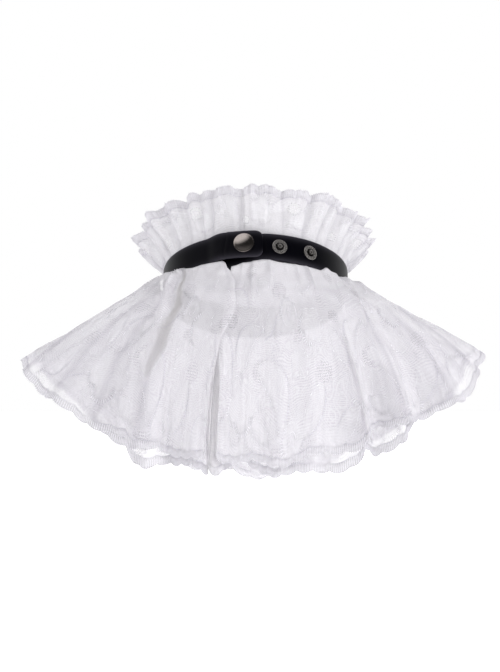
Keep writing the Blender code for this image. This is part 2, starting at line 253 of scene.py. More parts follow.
@dataclass(frozen=True)
class LaceFinish:
    """Off-white cotton lace: dense ribbed ground, smooth figures and patches of open net, with painted shade in its
    folds, weave gaps, net holes and pockets.
    """

    name: str = "off-white lace"
    ground: tuple = (0.875, 0.86, 0.895, 1.0)
    figure: tuple = (0.885, 0.872, 0.903, 1.0)
    # The next two colours are painted shade: the first in folds, weave gaps and net holes, the second inside the
    # pockets.
    shadow: tuple = (0.42, 0.40, 0.45, 1.0)
    hollow_shade: tuple = (0.50, 0.485, 0.49, 1.0)
    rib_pitch: float = 1.15
    thread_pitch: float = 0.8
    rib_sway: float = 110.0
    net_pitch: float = 1.45
    hole_size: float = 0.37
    ground_open: float = 0.60
    figure_open: float = 0.59
    net_open: float = 0.80
    heading_open: float = 0.25
    heading_depth: float = 20.0
    fold_shade: float = 0.6
    gap_shade: float = 0.26
    hole_shade: float = 0.42
    whip_pitch: float = 1.2
    swirl_pitch: float = 3.4
    unevenness: float = 0.14
    least_open: float = 0.05
    most_open: float = 0.9
    glow: float = 0.16
    bump: float = 0.5

    def stripes(self, sketch: NodeSketch, place: bpy.types.NodeSocket, pitch: float,
                sway: object = 0.0) -> bpy.types.NodeSocket:
        """Even stripes of a pitch, bent by a sway from 0 to 1."""
        line = sketch.sum(sketch.times(place, 2.0 * math.pi / pitch), sketch.times(sway, self.rib_sway))
        return sketch.math("SINE", line)

    def weave(self, sketch: NodeSketch, places: bpy.types.NodeSocket,
              blotch: bpy.types.NodeSocket) -> bpy.types.NodeSocket:
        """Height of the work: ribs, threads, fibres and swirls, flatter on figures, whipped at the border.

        Args:
            sketch: The lace's tree.
            places: Places on the cloth map.
            blotch: Uneven patches, which say where the swirls are.

        Returns:
            The height, about -2 to 2.
        """
        along, down, _ = sketch.add("SeparateXYZ", in0=places).outputs
        rib = self.stripes(sketch, down, self.rib_pitch, sketch.noise(places, 0.035, Detail=1.0, Roughness=0.5))
        ribbed = sketch.ramp(sketch.noise(places, 0.14, Detail=1.0), (0.40, 0.58), (0.12, 0.5))
        swirl = self.stripes(sketch, down, self.swirl_pitch, sketch.noise(places, 0.06, Detail=0.0))
        crest = sketch.math("POWER", sketch.math("MAXIMUM", swirl, 0.0), 3.0)
        fine = sketch.noise(places, 1.1, Detail=2.0, Roughness=0.7)
        weave = sketch.sum(sketch.times(rib, ribbed),
                           sketch.times(self.stripes(sketch, along, self.thread_pitch), 0.12),
                           sketch.times(sketch.less(fine, 0.5), 3.0),
                           sketch.times(sketch.times(crest, sketch.ramp(blotch, (0.42, 0.55))), 1.3))
        plain = sketch.less(1.0, sketch.times(sketch.plan("figure"), 0.4))
        whip = sketch.times(self.stripes(sketch, along, self.whip_pitch), sketch.plan("border"))
        return sketch.sum(sketch.times(weave, plain), sketch.times(whip, 0.4))

    def opening(self, sketch: NodeSketch, places: bpy.types.NodeSocket, *loose: bpy.types.NodeSocket,
                ) -> bpy.types.NodeSocket:
        """Share of light that passes between the threads, least at the heading and in the pockets.

        Args:
            sketch: The lace's tree.
            places: Places on the cloth map.
            loose: Shares to add to the figures' and the ground's own openness.

        Returns:
            The share.
        """
        down = sketch.add("SeparateXYZ", in0=places).outputs[1]
        spread = sketch.ramp(sketch.plan("figure"), (0.0, 1.0), (self.ground_open, self.figure_open))
        opening = sketch.less(sketch.sum(spread, *loose), sketch.times(sketch.plan("border"), 0.2))
        heading = sketch.ramp(down, (2.0, self.heading_depth), (self.heading_open, 1.0))
        opening = sketch.times(sketch.times(opening, heading), sketch.less(1.0, sketch.plan("pocket_shade")))
        return sketch.math("MINIMUM", sketch.math("MAXIMUM", opening, self.least_open), self.most_open)

    def build(self) -> bpy.types.Material:
        """Draw the lace's node tree on the cloth map, in millimetres."""
        sketch = NodeSketch(self.name)
        places = sketch.cloth_places()
        blotch = sketch.noise(places, 0.09, Detail=4.0, Roughness=0.6)
        weave = self.weave(sketch, places, blotch)
        mesh = sketch.add("TexVoronoi", {"feature": "F1"}, Vector=places, Scale=1.0 / self.net_pitch,
                          Randomness=0.15).outputs[0]
        hole = sketch.times(sketch.math("LESS_THAN", mesh, self.hole_size), sketch.plan("net"))
        # Painted shade in the weave's low places.
        gap = sketch.ramp(weave, (0.5, -1.1), (0.0, self.gap_shade))
        colour = sketch.mix(sketch.plan("figure"), self.ground, self.figure)
        # Painted shade deep in the folds, in the weave's gaps and in the net's holes.
        for shade in (gap, sketch.times(sketch.plan("valley"), self.fold_shade), sketch.times(hole, self.hole_shade)):
            colour = sketch.mix(shade, colour, self.shadow)
        # Painted shade inside the pockets.
        colour = sketch.mix(sketch.plan("pocket_shade"), colour, self.hollow_shade)
        bump = sketch.add("Bump", Strength=self.bump, Distance=0.0003, Height=weave).outputs[0]
        body = sketch.add("BsdfPrincipled", Base_Color=colour, Roughness=0.88, Normal=bump)
        body.inputs["Specular IOR Level"].default_value = 0.12
        body.inputs["Sheen Weight"].default_value = 0.10
        body.inputs["Sheen Roughness"].default_value = 0.5
        glow = sketch.add("BsdfTranslucent", Color=colour, Normal=bump)
        solid = sketch.add("MixShader", in0=self.glow, in1=body.outputs[0], in2=glow.outputs[0]).outputs[0]
        opening = self.opening(sketch, places, sketch.times(sketch.less(blotch, 0.5), self.unevenness),
                               sketch.times(gap, 0.35), sketch.times(hole, self.net_open - self.ground_open))
        clear = sketch.add("BsdfTransparent").outputs[0]
        return sketch.finish(sketch.add("MixShader", in0=opening, in1=solid, in2=clear).outputs[0])


@dataclass(frozen=True)
class CordFinish:
    """Twisted thread of the lace's raised lines, ribs and picots."""

    name: str = "lace cord"
    colour: tuple = (0.76, 0.75, 0.785, 1.0)
    # Painted shade of the twist's hollows.
    hollow_shade: tuple = (0.50, 0.48, 0.55, 1.0)

    def build(self) -> bpy.types.Material:
        """Draw the cord's node tree on object coordinates."""
        sketch = NodeSketch(self.name)
        places = sketch.add("TexCoord").outputs["Object"]
        twist = sketch.noise(places, 1400.0, Detail=2.0, Roughness=0.6)
        # Painted shade in the twist's hollows, following the twist noise.
        colour = sketch.mix(sketch.times(twist, 0.5), self.colour, self.hollow_shade)
        bump = sketch.add("Bump", Strength=0.4, Distance=0.0002, Height=twist).outputs[0]
        body = sketch.add("BsdfPrincipled", Base_Color=colour, Roughness=0.85, Normal=bump)
        body.inputs["Specular IOR Level"].default_value = 0.12
        body.inputs["Sheen Weight"].default_value = 0.08
        return sketch.finish(body.outputs[0])


@dataclass(frozen=True)
class SlitShadeFinish:
    """Dark threads laid along the openwork lines: painted shade of their slits between the stitches."""

    name: str = "openwork slits"
    colour: tuple = (0.30, 0.28, 0.36, 1.0)
    edge: tuple = (0.50, 0.48, 0.56, 1.0)

    def build(self) -> bpy.types.Material:
        """Draw the slit's node tree on object coordinates."""
        sketch = NodeSketch(self.name)
        places = sketch.add("TexCoord").outputs["Object"]
        mottle = sketch.noise(places, 500.0, Detail=2.0)
        # Painted shade, mottled towards a lighter tone.
        colour = sketch.mix(mottle, self.colour, self.edge)
        body = sketch.add("BsdfPrincipled", Base_Color=colour, Roughness=0.95)
        body.inputs["Specular IOR Level"].default_value = 0.05
        return sketch.finish(body.outputs[0])


@dataclass(frozen=True)
class LeatherclothFinish:
    """Smooth black imitation leather with a faint grain and a painted highlight along its edges."""

    name: str = "black leathercloth"
    colour: tuple = (0.0008, 0.0007, 0.0016, 1.0)
    worn: tuple = (0.0018, 0.0017, 0.0036, 1.0)
    edge_highlight: tuple = (0.035, 0.033, 0.042, 1.0)
    roughness: float = 0.34
    smear: float = 0.16

    def build(self) -> bpy.types.Material:
        """Draw the strap's node tree on object coordinates."""
        sketch = NodeSketch(self.name)
        places = sketch.add("TexCoord").outputs["Object"]
        grain = sketch.add("TexVoronoi", {"feature": "DISTANCE_TO_EDGE"}, Vector=places, Scale=1500.0).outputs[0]
        smear = sketch.noise(places, 45.0, Detail=5.0, Roughness=0.6)
        rim = sketch.plan("rim")
        colour = sketch.mix(smear, self.colour, self.worn)
        # Painted highlight along the strap's top and bottom edges.
        colour = sketch.mix(sketch.math("POWER", rim, 5.0), colour, self.edge_highlight)
        gloss = sketch.sum(sketch.times(smear, self.smear), self.roughness)
        bump = sketch.add("Bump", Strength=0.12, Distance=0.0001, Height=grain).outputs[0]
        body = sketch.add("BsdfPrincipled", Base_Color=colour, Roughness=gloss, Normal=bump)
        body.inputs["Specular IOR Level"].default_value = 0.09
        return sketch.finish(body.outputs[0])


@dataclass(frozen=True)
class TapeFinish:
    """Black woven tape."""

    name: str = "black woven tape"
    colour: tuple = (0.011, 0.0105, 0.013, 1.0)
    thread: tuple = (0.035, 0.034, 0.039, 1.0)
    rib_pitch: float = 0.9

    def build(self) -> bpy.types.Material:
        """Draw the tape's node tree on the cloth map, in millimetres."""
        sketch = NodeSketch(self.name)
        places = sketch.cloth_places()
        along = sketch.add("SeparateXYZ", in0=places).outputs[0]
        rib = sketch.math("SINE", sketch.times(along, 2.0 * math.pi / self.rib_pitch))
        fuzz = sketch.noise(places, 2.0, Detail=3.0)
        height = sketch.math("ADD", sketch.times(rib, 0.5), fuzz)
        colour = sketch.mix(sketch.times(fuzz, 0.9), self.colour, self.thread)
        bump = sketch.add("Bump", Strength=0.5, Distance=0.0002, Height=height).outputs[0]
        body = sketch.add("BsdfPrincipled", Base_Color=colour, Roughness=0.9, Normal=bump)
        body.inputs["Specular IOR Level"].default_value = 0.15
        return sketch.finish(body.outputs[0])


@dataclass(frozen=True)
class NickelFinish:
    """Nickel with fine handling marks, darkened in a stud's groove by painted shade together with soil."""

    name: str = "polished nickel"
    colour: tuple = (0.56, 0.50, 0.475, 1.0)
    dull: tuple = (0.46, 0.41, 0.385, 1.0)
    groove_shade_and_soil: tuple = (0.02, 0.018, 0.017, 1.0)
    roughness: float = 0.16
    metallic: float = 1.0

    def build(self) -> bpy.types.Material:
        """Draw the metal's node tree on object coordinates."""
        sketch = NodeSketch(self.name)
        places = sketch.add("TexCoord").outputs["Object"]
        marks = sketch.noise(places, 600.0, Detail=4.0, Roughness=0.7)
        groove = sketch.plan("groove")
        # A stud's groove is darkened: painted shade together with soil.
        colour = sketch.mix(groove, sketch.mix(marks, self.colour, self.dull), self.groove_shade_and_soil)
        gloss = sketch.sum(sketch.times(marks, 0.06), self.roughness)
        body = sketch.add("BsdfPrincipled", Base_Color=colour, Roughness=gloss, Metallic=self.metallic)
        return sketch.finish(body.outputs[0])


@dataclass(frozen=True)
class FloorFinish:
    """Pale paper floor, lit enough to read as white."""

    name: str = "pale paper floor"
    colour: tuple = (0.92, 0.92, 0.92, 1.0)
    glow: float = 0.75

    def build(self) -> bpy.types.Material:
        """Draw the floor's node tree."""
        sketch = NodeSketch(self.name)
        body = sketch.add("BsdfPrincipled", Base_Color=self.colour, Roughness=0.95)
        body.inputs["Specular IOR Level"].default_value = 0.0
        body.inputs["Emission Color"].default_value = (1.0, 1.0, 1.0, 1.0)
        body.inputs["Emission Strength"].default_value = self.glow
        return sketch.finish(body.outputs[0])


@dataclass
class Wardrobe:
    """All finishes of the collar, built once."""

    lace: bpy.types.Material = field(default_factory=lambda: LaceFinish().build())
    ruffle: bpy.types.Material = field(default_factory=lambda: LaceFinish(
        "dense off-white lace", (0.80, 0.785, 0.82, 1.0), (0.83, 0.82, 0.85, 1.0), ground_open=0.36,
        figure_open=0.30, heading_open=0.6, fold_shade=0.32).build())
    cord: bpy.types.Material = field(default_factory=lambda: CordFinish().build())
    slit_shade: bpy.types.Material = field(default_factory=lambda: SlitShadeFinish().build())
    strap: bpy.types.Material = field(default_factory=lambda: LeatherclothFinish().build())
    tape: bpy.types.Material = field(default_factory=lambda: TapeFinish().build())
    nickel: bpy.types.Material = field(default_factory=lambda: NickelFinish().build())
    stamped: bpy.types.Material = field(default_factory=lambda: NickelFinish(
        "stamped nickel", (0.56, 0.53, 0.515, 1.0), (0.12, 0.115, 0.11, 1.0), roughness=0.2,
        metallic=0.75).build())


def share_grid(columns: int, rows: int) -> tuple[np.ndarray, np.ndarray]:
    """Shares along a strip and across it, on a grid with that many faces."""
    across, along = np.meshgrid(np.linspace(0.0, 1.0, columns + 1), np.linspace(0.0, 1.0, rows + 1))
    return across, along


def close_shape(shape: bmesh.types.BMesh, name: str) -> bpy.types.Mesh:
    """Turn a finished bmesh into a mesh with that name."""
    mesh = bpy.data.meshes.new(name)
    shape.to_mesh(mesh)
    shape.free()
    return mesh


def settle(name: str, data: bpy.types.ID, wall: float = 0.0) -> bpy.types.Mesh:
    """Make a curve or a sheet its final mesh.

    Args:
        name: Name of the mesh.
        data: Curve, or the mesh of a sheet.
        wall: Metres of thickness that a sheet gets, half on either side.

    Returns:
        The mesh with everything applied.
    """
    holder = bpy.data.objects.new(name, data)
    bpy.context.scene.collection.objects.link(holder)
    if wall:
        solid = holder.modifiers.new("wall", "SOLIDIFY")
        solid.thickness = wall
        solid.offset = 0.0
    bpy.context.view_layer.update()
    mesh = bpy.data.meshes.new_from_object(holder.evaluated_get(bpy.context.evaluated_depsgraph_get()))
    bpy.data.objects.remove(holder)
    return mesh


def place_piece(name: str, mesh: bpy.types.Mesh, material: bpy.types.Material) -> bpy.types.Object:
    """Make a mesh a piece of the collar.

    Args:
        name: Piece name.
        mesh: Mesh with its place in its points.
        material: Finish of the piece.

    Returns:
        The new object at the origin.
    """
    mesh.materials.clear()
    mesh.materials.append(material)
    piece = bpy.data.objects.new(name, mesh)
    bpy.context.scene.collection.objects.link(piece)
    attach(piece, BODY)
    LOG.info("made %s", name)
    return piece


def draw_cords(name: str, runs: list, radius: float, material: bpy.types.Material) -> bpy.types.Object:
    """Sweep thin threads along runs of points and join them in one mesh.

    Args:
        name: Piece name.
        runs: Arrays of points, one for each thread.
        radius: Half the thread's thickness.
        material: Finish of the threads.

    Returns:
        The piece that holds all the threads.
    """
    curve = bpy.data.curves.new(name, "CURVE")
    curve.dimensions = "3D"
    curve.bevel_depth = radius
    curve.bevel_resolution = 0
    curve.use_fill_caps = True
    for run in runs:
        spline = curve.splines.new("POLY")
        spline.points.add(len(run) - 1)
        spline.points.foreach_set("co", np.column_stack([run, np.ones(len(run))]).ravel())
    mesh = settle(name, curve)
    shape = bmesh.new()
    shape.from_mesh(mesh)
    bmesh.ops.remove_doubles(shape, verts=shape.verts, dist=1e-6)
    shape.to_mesh(mesh)
    shape.free()
    mesh.shade_smooth()
    return place_piece(name, mesh, material)


@dataclass
class ClothGrid:
    """A strip of cloth on its form: rows run from the neck to the hem, columns along the strip.

    Attributes:
        points: Places of the grid, rows by columns by 3.
        length: Cut length of the strip in millimetres.
        width: Cut width in millimetres.
    """

    points: np.ndarray
    length: float
    width: float

    def __post_init__(self) -> None:
        """Work out the outward normals."""
        along = np.gradient(self.points, axis=1)
        down = np.gradient(self.points, axis=0)
        self.normals = unit(np.cross(down, along))

    @property
    def columns(self) -> int:
        """Number of faces along the strip."""
        return self.points.shape[1] - 1

    @property
    def rows(self) -> int:
        """Number of faces across the strip."""
        return self.points.shape[0] - 1

    def on_cloth(self, u: np.ndarray, v: np.ndarray, lift: float) -> np.ndarray:
        """Places on the bent cloth of points that are planned flat.

        Args:
            u: Millimetres along the strip.
            v: Millimetres from the neck edge.
            lift: Metres above the cloth.

        Returns:
            Points in the frame.
        """
        across = np.clip(np.asarray(u) / self.length, 0.0, 1.0) * self.columns
        along = np.clip(np.asarray(v) / self.width, 0.0, 1.0) * self.rows
        column = np.minimum(across.astype(int), self.columns - 1)
        row = np.minimum(along.astype(int), self.rows - 1)
        a = (across - column)[..., None]
        b = (along - row)[..., None]
        spot = np.zeros(a.shape[:-1] + (3,))
        normal = np.zeros_like(spot)
        for step_row, step_column in ((0, 0), (0, 1), (1, 0), (1, 1)):
            weight = (b if step_row else 1.0 - b) * (a if step_column else 1.0 - a)
            spot += weight * self.points[row + step_row, column + step_column]
            normal += weight * self.normals[row + step_row, column + step_column]
        return spot + unit(normal) * lift

    def mesh(self, name: str, thickness: float, plans: dict, relief: np.ndarray = None) -> bpy.types.Mesh:
        """Bend a flat grid onto the form and give it its thickness.

        Args:
            name: Mesh name.
            thickness: Wall in metres.
            plans: Point values by attribute name, rows by columns.
            relief: Metres that each point stands out.

        Returns:
            A closed mesh with its cloth map and attributes.
        """
        spots = self.points if relief is None else self.points + self.normals * relief[..., None]
        shape = bmesh.new()
        bmesh.ops.create_grid(shape, x_segments=self.columns, y_segments=self.rows, size=0.5)
        layers = {key: shape.verts.layers.float.new(key) for key in plans}
        flat = {}
        for vertex in shape.verts:
            column = round((vertex.co.x + 0.5) * self.columns)
            row = self.rows - round((vertex.co.y + 0.5) * self.rows)
            flat[vertex] = (column / self.columns * self.length * MM, row / self.rows * self.width * MM)
            vertex.co = spots[row, column]
            for key, layer in layers.items():
                vertex[layer] = float(plans[key][row, column])
        cloth = shape.loops.layers.uv.new("cloth")
        for face in shape.faces:
            for loop in face.loops:
                loop[cloth].uv = flat[loop.vert]
        bmesh.ops.recalc_face_normals(shape, faces=shape.faces)
        middle = shape.faces[len(shape.faces) // 2]
        outward = Vector(self.normals[self.rows // 2, self.columns // 2])
        if middle.normal.dot(outward) < 0.0:
            bmesh.ops.reverse_faces(shape, faces=shape.faces)
        solid = settle(name, close_shape(shape, name), thickness)
        solid.name = name
        solid.shade_smooth()
        return solid


@dataclass(frozen=True)
class Figure:
    """One figure of the lace, planned flat.

    Attributes:
        shape: What it is.
        u: Millimetres along the repeat.
        v: Millimetres from the neck edge.
        size: Its reach in millimetres.
        turn: Degrees that it is turned.
        petals: Petals of a flower.
        ribbed: Shares of its outline between which a ribbed band runs.
        pierced: Shares of its outline between which an openwork line runs.
    """

    shape: Shape
    u: float
    v: float
    size: float
    turn: float = 0.0
    petals: int = 5
    ribbed: tuple = ()
    pierced: tuple = ()

    def local(self, u: np.ndarray, v: np.ndarray) -> tuple:
        """Turn places on the cloth into the figure's own two shares."""
        turn = math.radians(self.turn)
        across = (u - self.u) * math.cos(turn) + (v - self.v) * math.sin(turn)
        along = (v - self.v) * math.cos(turn) - (u - self.u) * math.sin(turn)
        return across / self.size, along / self.size

    def petal_reach(self, angle: np.ndarray) -> np.ndarray:
        """Reach of a flower's edge at an angle."""
        return 0.66 + 0.34 * np.abs(np.cos(angle * self.petals / 2.0)) ** 0.6

    def half_breadth(self, x: np.ndarray) -> np.ndarray:
        """Half the breadth of a leaf or a teardrop along its spine."""
        if self.shape is Shape.LEAF:
            return 0.42 * np.clip(1.0 - x * x, 0.0, 1.0) ** 0.8
        return 0.42 * np.clip((1.0 - x) * np.clip(1.0 + x, 0.0, 2.0) ** 0.45, 0.0, 2.0)

    def spine(self, x: np.ndarray) -> np.ndarray:
        """Sideways bend of a leaf's or a teardrop's spine."""
        return 0.45 * x * x if self.shape is Shape.TEARDROP else np.zeros_like(x)

    def inside(self, u: np.ndarray, v: np.ndarray) -> np.ndarray:
        """Soft share, from 0 to 1, of how far places lie inside the figure."""
        x, y = self.local(u, v)
        soft = 1.4 / self.size
        if self.shape is Shape.FLOWER:
            edge = self.petal_reach(np.arctan2(y, x)) - np.hypot(x, y)
        elif self.shape in (Shape.LEAF, Shape.TEARDROP):
            edge = np.where(np.abs(x) < 1.0, self.half_breadth(x) - np.abs(y - self.spine(x)), -1.0)
        elif self.shape is Shape.SCROLL:
            edge = 0.2 - np.abs(np.hypot(x, y) - 0.66)
        elif self.shape is Shape.WINDOWS:
            edge = np.full_like(x, -1.0)
            for across, along in ((0.0, -0.75), (-0.7, 0.35), (0.7, 0.35)):
                edge = np.maximum(edge, 0.42 - np.maximum(np.abs(x - across), np.abs(y - along)))
        else:
            edge = 1.0 - np.sqrt(x * x + (y / 0.7) ** 2)
        return np.clip(edge / soft + 0.5, 0.0, 1.0)

    def placed(self, x: np.ndarray, y: np.ndarray) -> tuple:
        """Turn the figure's own shares into places on the cloth."""
        turn = math.radians(self.turn)
        u = self.u + self.size * (x * math.cos(turn) - y * math.sin(turn))
        v = self.v + self.size * (x * math.sin(turn) + y * math.cos(turn))
        return u, v

    def outline(self) -> tuple:
        """Closed edge of the figure, or None where it has none."""
        if self.shape is Shape.FLOWER:
            angle = np.linspace(0.0, 2.0 * math.pi, 12 * self.petals + 1)
            reach = self.petal_reach(angle)
            return self.placed(reach * np.cos(angle), reach * np.sin(angle))
        if self.shape in (Shape.LEAF, Shape.TEARDROP):
            x = np.linspace(-1.0, 1.0, 15 if self.shape is Shape.LEAF else 19)
            y, curl = self.half_breadth(x), self.spine(x)
            return self.placed(np.append(x, x[::-1]), np.append(curl + y, (curl - y)[::-1]))
        if self.shape is Shape.SCROLL:
            angle = np.linspace(-0.4 * math.pi, 1.35 * math.pi, 26)
            return self.placed(0.9 * np.cos(angle), 0.9 * np.sin(angle))
        return None

    def veins(self) -> list:
        """Inner lines of the figure."""
        if self.shape is Shape.FLOWER:
            angle = np.linspace(0.0, 2.0 * math.pi, 13)
            lines = [self.placed(0.26 * np.cos(angle), 0.26 * np.sin(angle))]
            for number in range(self.petals):
                turn = 2.0 * math.pi * number / self.petals
                reach = np.linspace(0.34, 0.7, 3)
                lines.append(self.placed(reach * math.cos(turn), reach * math.sin(turn)))
            return lines
        if self.shape is Shape.LEAF:
            return [self.placed(np.linspace(-1.2, 0.7, 8), np.zeros(8))]
        if self.shape is Shape.SCROLL:
            angle = np.linspace(0.0, 3.0 * math.pi, 26)
            reach = 0.62 - 0.45 * angle / angle[-1]
            return [self.placed(reach * np.cos(angle), reach * np.sin(angle))]
        return []


def stitch_places(u: np.ndarray, v: np.ndarray, shares: tuple, pitch: float) -> tuple:
    """Even places along part of a line.

    Args:
        u: Line's millimetres along the strip.
        v: Line's millimetres from the neck edge.
        shares: Shares of the line's length where the stitches start and end.
        pitch: Millimetres between stitches.

    Returns:
        Arrays of u and v, then of the line's direction in u and v.
    """
    step = np.hypot(np.diff(u), np.diff(v))
    run = np.concatenate([[0.0], np.cumsum(step)])
    wanted = np.arange(shares[0] * run[-1], shares[1] * run[-1], pitch)
    place_u = np.interp(wanted, run, u)
    place_v = np.interp(wanted, run, v)
    ahead_u = np.interp(wanted + 0.5, run, u) - np.interp(wanted - 0.5, run, u)
    ahead_v = np.interp(wanted + 0.5, run, v) - np.interp(wanted - 0.5, run, v)
    length = np.maximum(np.hypot(ahead_u, ahead_v), 1e-6)
    return place_u, place_v, ahead_u / length, ahead_v / length


@dataclass
class LaceDesign:
    """Figures of one repeat of the lace and the border along its edge.

    Attributes:
        figures: Figures of one repeat.
        repeat: Length of the repeat in millimetres.
        width: Cut width of the lace.
        scallop: Length of one scallop of the border.
        scallop_depth: Depth of the scallops.
        border: Width of the ribbed border.
        rib_pitch: Distance between ribs.
        rib_reach: Length of a ribbed band's ribs.
        slit_pitch: Distance between the slits of an openwork line.
        slit: Length of a slit.
        lowest: Least distance of a figure from the neck edge.
        lobe: Length of one of the edge's longer waves.
        lobe_depth: Depth of those waves.
        cord_radius: Half the thickness of a raised cord.
        rib_radius: Half the thickness of a rib.
        slit_radius: Half the width of a slit.
    """

    figures: tuple
    repeat: float
    width: float
    scallop: float = 12.5
    scallop_depth: float = 1.3
    lobe: float = 53.0
    lobe_depth: float = 0.9
    border: float = 3.2
    rib_pitch: float = 1.2
    rib_reach: float = 2.3
    slit_pitch: float = 1.5
    slit: float = 0.8
    lowest: float = 2.0
    cord_radius: float = 0.14
    rib_radius: float = 0.22
    slit_radius: float = 0.17

    def edge(self, u: np.ndarray) -> np.ndarray:
        """Millimetres that the border reaches past the cut width."""
        wave = np.abs(np.sin(math.pi * np.asarray(u) / self.scallop)) ** 0.6
        slow = np.sin(2.0 * math.pi * np.asarray(u) / self.lobe)
        return self.scallop_depth * (wave - 0.6) + self.lobe_depth * slow

    def plans(self, u: np.ndarray, v: np.ndarray) -> dict:
        """Values of the plan at places of the cloth.

        Args:
            u: Millimetres along the strip.
            v: Millimetres from the neck edge.

        Returns:
            Arrays of figure, net and border, from 0 to 1.
        """
        figure = np.zeros_like(u)
        net = np.zeros_like(u)
        place = u % self.repeat
        for item in self.figures:
            for shift in (-self.repeat, 0.0, self.repeat):
                share = item.inside(place + shift, v)
                if item.shape in (Shape.NET, Shape.WINDOWS):
                    net = np.maximum(net, share)
                else:
                    figure = np.maximum(figure, share)
        rim = self.width - v
        border = smooth_step(self.border + 0.6, self.border - 0.4, rim)
        return {"figure": figure * (1.0 - border), "net": net * (1.0 - figure) * (1.0 - border), "border": border}

    def repeats(self, cloth: ClothGrid) -> list:
        """Every figure of every repeat with its shift along the strip."""
        numbers = range(-1, int(cloth.length / self.repeat) + 1)
        return [(item, number * self.repeat) for number in numbers for item in self.figures]

    def lies_on(self, cloth: ClothGrid, u: np.ndarray, v: np.ndarray) -> np.ndarray:
        """Whether places lie on the strip's open field."""
        return (u > 1.0) & (u < cloth.length - 1.0) & (v > self.lowest) & (v < cloth.width - 4.5)

    def cord_runs(self, cloth: ClothGrid, lift: float) -> list:
        """Raised lines of every figure along a strip, cut where they leave it.

        Args:
            cloth: The bent strip.
            lift: Metres that the cord's middle stands off the cloth.

        Returns:
            Runs of points.
        """
        runs = []
        for item, shift in self.repeats(cloth):
            edge = item.outline()
            for u, v in ([edge] if edge else []) + item.veins():
                u = u + shift
                worn_off = np.sin(0.9 * item.u + shift + np.linspace(0.0, 9.0, len(u))) < -0.35
                inside = self.lies_on(cloth, u, v) & ~worn_off
                for part in np.split(np.arange(len(u)), np.flatnonzero(np.diff(inside)) + 1):
                    if len(part) > 1 and inside[part[0]]:
                        runs.append(cloth.on_cloth(u[part], v[part], lift))
        return runs

    def rib_runs(self, cloth: ClothGrid, lift: float) -> list:
        """Short ribs across the border and across the figures' ribbed bands."""
        runs = []
        for u in np.arange(self.rib_pitch, cloth.length, self.rib_pitch):
            v = np.array([cloth.width - self.border, cloth.width - 0.5 * self.border, cloth.width])
            run = cloth.on_cloth(np.full(3, u), v, lift)
            runs.append(np.vstack([run, run[-1:] + 0.2 * (run[-1:] - run[-2:-1])]))
        for item, shift in self.repeats(cloth):
            if not item.ribbed:
                continue
            u, v = item.outline()
            for a, b, ahead_u, ahead_v in zip(*stitch_places(u + shift, v, item.ribbed, self.rib_pitch)):
                reach = np.array([-0.2, 0.5, 1.0]) * self.rib_reach
                if self.lies_on(cloth, a, b):
                    runs.append(cloth.on_cloth(a + reach * ahead_v, b - reach * ahead_u, lift))
        return runs

    def slit_runs(self, cloth: ClothGrid, lift: float) -> list:
        """Slits of the openwork lines, as dark threads of painted shade: inside the border and along the figures."""
        rows = np.arange(2.0, cloth.length - 2.0, self.slit_pitch)
        inset = cloth.width - self.border - 1.0 + 0.35 * self.edge(rows)
        lines = [(rows, inset, np.ones_like(rows), np.zeros_like(rows))]
        for item, shift in self.repeats(cloth):
            if item.pierced:
                u, v = item.outline()
                lines.append(stitch_places(u + shift, v, item.pierced, self.slit_pitch))
        runs = []
        half = np.array([-0.5, 0.5]) * self.slit
        for line in lines:
            for a, b, ahead_u, ahead_v in zip(*line):
                if self.lies_on(cloth, a, b - 1.5):
                    inward = np.array([ahead_v, -ahead_u]) * -0.7
                    runs.append(cloth.on_cloth(a + inward[0] + half * ahead_u, b + inward[1] + half * ahead_v, lift))
        return runs

    def rim_runs(self, cloth: ClothGrid, lift: float) -> list:
        """Two cords along the border: on its edge and along its inner line."""
        u = np.arange(0.5, cloth.length, 1.6)
        return [cloth.on_cloth(u, np.full_like(u, cloth.width - inset), lift) for inset in (0.1, self.border)]

    def trim(self, name: str, cloth: ClothGrid, wardrobe: Wardrobe) -> list:
        """Make the raised cords, the ribs and the slits, dark threads of painted shade, on a strip.

        Args:
            name: Start of the pieces' names.
            cloth: The bent strip.
            wardrobe: Finishes.

        Returns:
            The three pieces.
        """
        cords = self.cord_runs(cloth, 0.24 * MM) + self.rim_runs(cloth, 0.1 * MM)
        kinds = (("cords", cords, self.cord_radius, wardrobe.cord),
                 ("ribs", self.rib_runs(cloth, 0.16 * MM), self.rib_radius, wardrobe.cord),
                 # The slits are dark threads of painted shade where the openwork holes are.
                 ("slits", self.slit_runs(cloth, 0.2 * MM), self.slit_radius, wardrobe.slit_shade))
        return [draw_cords(f"{name}_{kind}", runs, radius * MM, finish)
                for kind, runs, radius, finish in kinds]


